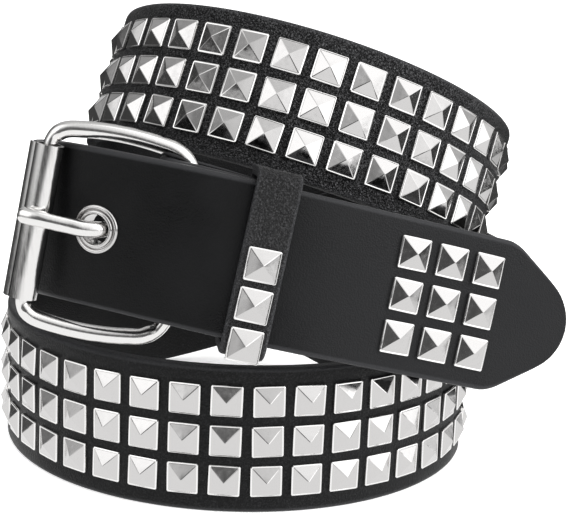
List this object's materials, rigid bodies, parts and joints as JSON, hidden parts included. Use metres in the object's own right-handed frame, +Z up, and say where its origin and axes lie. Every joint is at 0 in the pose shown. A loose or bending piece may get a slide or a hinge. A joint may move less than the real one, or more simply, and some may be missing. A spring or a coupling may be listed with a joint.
{
  "type": "studded belt",
  "caption": "Rolled-up dark leather belt with rows of pyramid studs, a roller buckle, eyelet holes, a studded keeper loop and a plain pointed end.",
  "frame": {"origin": "centre of the footprint's bounding box, on the level the coil rests on", "axes": "+Z up across the strap's width, -Y towards the buckle side that faces the viewer, +X towards the pointed end"},
  "size_m": [0.1504, 0.1646, 0.1217],
  "materials": {
    "black_leather": "fine-grained satin black",
    "brushed_nickel": "brushed satin nickel",
    "polished_nickel": "polished nickel"
  },
  "bodies": {
    "root": {"strap": "black_leather", "keeper": "black_leather", "buckle_frame": "brushed_nickel", "roller": "brushed_nickel", "prong": "brushed_nickel", "eyelet_1": "polished_nickel", "eyelet_2": "polished_nickel", "eyelet_3": "polished_nickel", "eyelet_4": "polished_nickel", "eyelet_5": "polished_nickel", "tip_stud_1": "polished_nickel", "tip_stud_2": "polished_nickel", "tip_stud_3": "polished_nickel", "tip_stud_4": "polished_nickel", "tip_stud_5": "polished_nickel", "tip_stud_6": "polished_nickel", "tip_stud_7": "polished_nickel", "tip_stud_8": "polished_nickel", "tip_stud_9": "polished_nickel", "keeper_stud_1": "polished_nickel", "keeper_stud_2": "polished_nickel", "keeper_stud_3": "polished_nickel", "fold_rivet_1": "brushed_nickel", "fold_rivet_2": "brushed_nickel"}
  },
  "joints": []
}
